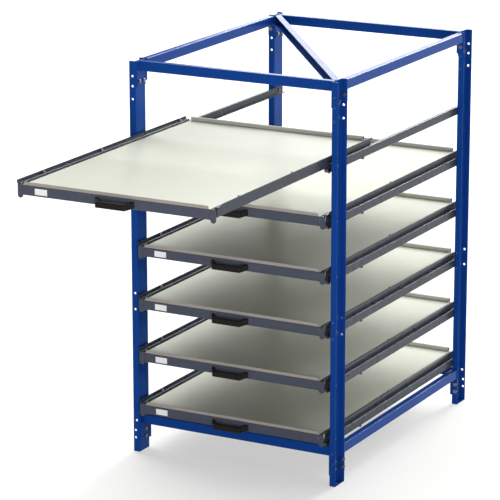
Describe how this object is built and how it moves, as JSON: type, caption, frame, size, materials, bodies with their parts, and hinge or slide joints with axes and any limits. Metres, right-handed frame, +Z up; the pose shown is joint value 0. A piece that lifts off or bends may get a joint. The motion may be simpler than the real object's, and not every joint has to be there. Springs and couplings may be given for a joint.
{
  "type": "drawer shelving unit",
  "caption": "Bolted steel rack with pull-out trays on roller slides, each with a front beam and bow handle, for storing heavy goods at several levels.",
  "frame": {"origin": "middle of the four floor anchors, on the floor under the centre of the frame's footprint", "axes": "+X to the right seen from the front, +Y to the rear, so drawers pull out along -Y, +Z up"},
  "size_m": [1.02, 2.407, 1.8],
  "materials": {
    "blue_paint": "glossy",
    "anthracite_paint": "semi-gloss",
    "cream_paint": "semi-gloss",
    "zinc_steel": "zinc plated",
    "roller_steel": "ground and oiled",
    "black_plastic": "fine grain"
  },
  "bodies": {
    "frame": {"post_front_right": "blue_paint", "post_front_left": "blue_paint", "post_rear_right": "blue_paint", "post_rear_left": "blue_paint", "foot_plates": "blue_paint", "top_rail_front": "blue_paint", "top_rail_rear": "blue_paint", "top_rail_right": "blue_paint", "top_rail_left": "blue_paint", "bottom_rail_front": "blue_paint", "bottom_rail_rear": "blue_paint", "bottom_rail_right": "blue_paint", "bottom_rail_left": "blue_paint", "top_brace": "blue_paint", "frame_bolts": "zinc_steel", "runner_bolts": "zinc_steel", "stop_bolts": "zinc_steel", "runners_1": "anthracite_paint", "runners_2": "anthracite_paint", "runners_3": "anthracite_paint", "runners_4": "anthracite_paint", "runners_5": "anthracite_paint", "runners_6": "anthracite_paint"},
    "drawer_1": {"side_rails_1": "anthracite_paint", "front_beam_1": "anthracite_paint", "tray_1": "cream_paint", "handle_1": "black_plastic"},
    "front_rollers_1": {"front_rollers_1": "roller_steel"},
    "rear_rollers_1": {"rear_rollers_1": "roller_steel"},
    "drawer_2": {"side_rails_2": "anthracite_paint", "front_beam_2": "anthracite_paint", "tray_2": "cream_paint", "handle_2": "black_plastic"},
    "front_rollers_2": {"front_rollers_2": "roller_steel"},
    "rear_rollers_2": {"rear_rollers_2": "roller_steel"},
    "drawer_3": {"side_rails_3": "anthracite_paint", "front_beam_3": "anthracite_paint", "tray_3": "cream_paint", "handle_3": "black_plastic"},
    "front_rollers_3": {"front_rollers_3": "roller_steel"},
    "rear_rollers_3": {"rear_rollers_3": "roller_steel"},
    "drawer_4": {"side_rails_4": "anthracite_paint", "front_beam_4": "anthracite_paint", "tray_4": "cream_paint", "handle_4": "black_plastic"},
    "front_rollers_4": {"front_rollers_4": "roller_steel"},
    "rear_rollers_4": {"rear_rollers_4": "roller_steel"},
    "drawer_5": {"side_rails_5": "anthracite_paint", "front_beam_5": "anthracite_paint", "tray_5": "cream_paint", "handle_5": "black_plastic"},
    "front_rollers_5": {"front_rollers_5": "roller_steel"},
    "rear_rollers_5": {"rear_rollers_5": "roller_steel"},
    "drawer_6": {"side_rails_6": "anthracite_paint", "front_beam_6": "anthracite_paint", "tray_6": "cream_paint", "handle_6": "black_plastic"},
    "front_rollers_6": {"front_rollers_6": "roller_steel"},
    "rear_rollers_6": {"rear_rollers_6": "roller_steel"}
  },
  "joints": [
    {"name": "drawer_1_slide", "type": "slide", "parent": "frame", "child": "drawer_1", "axis": [0, -1, 0], "range_m": [-0.955, 0]},
    {"name": "front_rollers_1_spin", "type": "hinge", "parent": "frame", "child": "front_rollers_1", "pos_m": [0, -0.676, 1.4132], "axis": [1, 0, 0], "continuous": true},
    {"name": "rear_rollers_1_spin", "type": "hinge", "parent": "drawer_1", "child": "rear_rollers_1", "pos_m": [0, -0.352, 1.4285], "axis": [1, 0, 0], "continuous": true},
    {"name": "drawer_2_slide", "type": "slide", "parent": "frame", "child": "drawer_2", "axis": [0, -1, 0], "range_m": [0, 0.955]},
    {"name": "front_rollers_2_spin", "type": "hinge", "parent": "frame", "child": "front_rollers_2", "pos_m": [0, -0.676, 1.1684], "axis": [1, 0, 0], "continuous": true},
    {"name": "rear_rollers_2_spin", "type": "hinge", "parent": "drawer_2", "child": "rear_rollers_2", "pos_m": [0, 0.603, 1.1837], "axis": [1, 0, 0], "continuous": true},
    {"name": "drawer_3_slide", "type": "slide", "parent": "frame", "child": "drawer_3", "axis": [0, -1, 0], "range_m": [0, 0.955]},
    {"name": "front_rollers_3_spin", "type": "hinge", "parent": "frame", "child": "front_rollers_3", "pos_m": [0, -0.676, 0.9236], "axis": [1, 0, 0], "continuous": true},
    {"name": "rear_rollers_3_spin", "type": "hinge", "parent": "drawer_3", "child": "rear_rollers_3", "pos_m": [0, 0.603, 0.9389], "axis": [1, 0, 0], "continuous": true},
    {"name": "drawer_4_slide", "type": "slide", "parent": "frame", "child": "drawer_4", "axis": [0, -1, 0], "range_m": [0, 0.955]},
    {"name": "front_rollers_4_spin", "type": "hinge", "parent": "frame", "child": "front_rollers_4", "pos_m": [0, -0.676, 0.6788], "axis": [1, 0, 0], "continuous": true},
    {"name": "rear_rollers_4_spin", "type": "hinge", "parent": "drawer_4", "child": "rear_rollers_4", "pos_m": [0, 0.603, 0.6941], "axis": [1, 0, 0], "continuous": true},
    {"name": "drawer_5_slide", "type": "slide", "parent": "frame", "child": "drawer_5", "axis": [0, -1, 0], "range_m": [0, 0.955]},
    {"name": "front_rollers_5_spin", "type": "hinge", "parent": "frame", "child": "front_rollers_5", "pos_m": [0, -0.676, 0.434], "axis": [1, 0, 0], "continuous": true},
    {"name": "rear_rollers_5_spin", "type": "hinge", "parent": "drawer_5", "child": "rear_rollers_5", "pos_m": [0, 0.603, 0.4493], "axis": [1, 0, 0], "continuous": true},
    {"name": "drawer_6_slide", "type": "slide", "parent": "frame", "child": "drawer_6", "axis": [0, -1, 0], "range_m": [0, 0.955]},
    {"name": "front_rollers_6_spin", "type": "hinge", "parent": "frame", "child": "front_rollers_6", "pos_m": [0, -0.676, 0.1892], "axis": [1, 0, 0], "continuous": true},
    {"name": "rear_rollers_6_spin", "type": "hinge", "parent": "drawer_6", "child": "rear_rollers_6", "pos_m": [0, 0.603, 0.2045], "axis": [1, 0, 0], "continuous": true}
  ],
  "couplings": [
    {"joint": "front_rollers_1_spin", "follows": "drawer_1_slide", "rad_per_m": 83.333},
    {"joint": "rear_rollers_1_spin", "follows": "drawer_1_slide", "rad_per_m": 62.5},
    {"joint": "front_rollers_2_spin", "follows": "drawer_2_slide", "rad_per_m": 83.333},
    {"joint": "rear_rollers_2_spin", "follows": "drawer_2_slide", "rad_per_m": 62.5},
    {"joint": "front_rollers_3_spin", "follows": "drawer_3_slide", "rad_per_m": 83.333},
    {"joint": "rear_rollers_3_spin", "follows": "drawer_3_slide", "rad_per_m": 62.5},
    {"joint": "front_rollers_4_spin", "follows": "drawer_4_slide", "rad_per_m": 83.333},
    {"joint": "rear_rollers_4_spin", "follows": "drawer_4_slide", "rad_per_m": 62.5},
    {"joint": "front_rollers_5_spin", "follows": "drawer_5_slide", "rad_per_m": 83.333},
    {"joint": "rear_rollers_5_spin", "follows": "drawer_5_slide", "rad_per_m": 62.5},
    {"joint": "front_rollers_6_spin", "follows": "drawer_6_slide", "rad_per_m": 83.333},
    {"joint": "rear_rollers_6_spin", "follows": "drawer_6_slide", "rad_per_m": 62.5}
  ]
}
